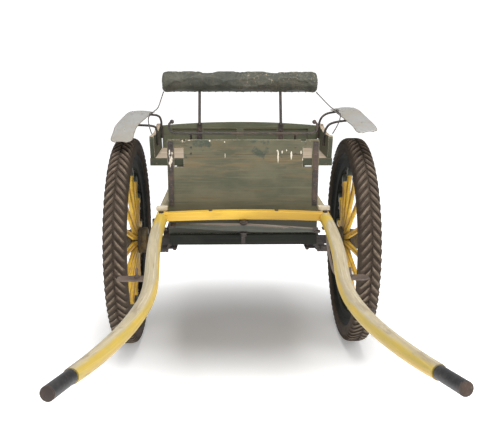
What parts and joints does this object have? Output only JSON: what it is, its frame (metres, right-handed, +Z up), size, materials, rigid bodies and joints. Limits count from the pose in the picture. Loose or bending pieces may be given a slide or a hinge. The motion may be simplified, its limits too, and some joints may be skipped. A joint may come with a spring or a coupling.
{
  "type": "pony cart",
  "caption": "Two-wheeled pony cart with shafts, spoked wheels on pneumatic tyres, sprung axle, dash, bench seat with a padded back roll, mudguards, steps and tailboard.",
  "frame": {"origin": "on the ground under the middle of the cart's bounding box, wheels and shaft tips included", "axes": "+Z up, shafts point along -Y, wheel axle along X with +X at the viewer's right when facing the dash"},
  "size_m": [1.3556, 2.7374, 1.4559],
  "materials": {
    "tyre": "dusty worn rubber",
    "rim_paint": "dark paint worn to grey at the edges",
    "spoke_paint": "worn yellow paint with red and black lines",
    "hub_paint": "worn yellow-brown paint",
    "bolt_steel": "dull",
    "rusty_iron": "dark rust",
    "shaft_paint": "yellow paint weathered to grey cream",
    "tip_metal": "black paint with rust at the end",
    "crossbar_paint": "yellow gloss paint, scuffed",
    "dash_paint": "dark green paint worn through to ochre wood",
    "green_paint": "dark green paint, worn",
    "bare_wood": "bare weathered boards",
    "roll_cover": "cracked dark cloth with ochre flakes",
    "guard_metal": "weathered pale grey",
    "wire": "rusty"
  },
  "bodies": {
    "cart": {"axle_nuts": "bolt_steel", "crossbar_bolts": "bolt_steel", "dash_rivets": "bolt_steel", "axle": "rusty_iron", "axle_clips": "rusty_iron", "springs": "rusty_iron", "spring_shackles": "rusty_iron", "spring_hangers": "rusty_iron", "shaft_hook": "rusty_iron", "centre_strap": "rusty_iron", "dash_irons": "rusty_iron", "tail_hinges": "rusty_iron", "back_irons": "rusty_iron", "guard_irons": "rusty_iron", "steps": "rusty_iron", "rein_rail": "rusty_iron", "shaft_left": "shaft_paint", "shaft_right": "shaft_paint", "shaft_tip_left": "tip_metal", "shaft_tip_right": "tip_metal", "crossbar": "crossbar_paint", "dash_board": "dash_paint", "front_sill": "green_paint", "floor_bearers": "green_paint", "side_left": "green_paint", "side_right": "green_paint", "side_battens": "green_paint", "seat_rails": "green_paint", "seat_bearers": "green_paint", "seat_end_left": "green_paint", "seat_end_right": "green_paint", "seat_back": "green_paint", "back_panels": "green_paint", "floor_boards": "bare_wood", "seat_board": "bare_wood", "roll_core": "bare_wood", "back_roll": "roll_cover", "guard_left": "guard_metal", "guard_right": "guard_metal", "stay_wires": "wire"},
    "wheel_left": {"tyre_left": "tyre", "rim_left": "rim_paint", "felloe_left": "rim_paint", "spokes_left": "spoke_paint", "hub_left": "hub_paint", "rim_bolts_left": "bolt_steel", "hub_cap_left": "rusty_iron"},
    "wheel_right": {"tyre_right": "tyre", "rim_right": "rim_paint", "felloe_right": "rim_paint", "spokes_right": "spoke_paint", "hub_right": "hub_paint", "rim_bolts_right": "bolt_steel", "hub_cap_right": "rusty_iron"},
    "swingletree": {"swingletree": "green_paint", "swingletree_irons": "rusty_iron"},
    "tailboard": {"tailboard": "green_paint", "hinge_straps": "rusty_iron"},
    "button_left": {"turn_button_left": "rusty_iron"},
    "button_right": {"turn_button_right": "rusty_iron"}
  },
  "joints": [
    {"name": "wheel_left_spin", "type": "hinge", "parent": "cart", "child": "wheel_left", "pos_m": [-0.6095, 0.806, 0.56], "axis": [1, 0, 0], "continuous": true},
    {"name": "wheel_right_spin", "type": "hinge", "parent": "cart", "child": "wheel_right", "pos_m": [0.6095, 0.806, 0.56], "axis": [1, 0, 0], "continuous": true},
    {"name": "swingletree_pivot", "type": "hinge", "parent": "cart", "child": "swingletree", "pos_m": [0, 0.166, 0.8], "axis": [0, 0, 1], "range_deg": [-5, 21]},
    {"name": "tailboard_hinge", "type": "hinge", "parent": "cart", "child": "tailboard", "pos_m": [0, 1.238, 0.706], "axis": [-1, 0, 0], "range_deg": [0, 95]},
    {"name": "button_left_turn", "type": "hinge", "parent": "cart", "child": "button_left", "pos_m": [-0.357, 1.23, 0.925], "axis": [0, -1, 0], "range_deg": [0, 90]},
    {"name": "button_right_turn", "type": "hinge", "parent": "cart", "child": "button_right", "pos_m": [0.357, 1.23, 0.925], "axis": [0, 1, 0], "range_deg": [0, 90]}
  ]
}
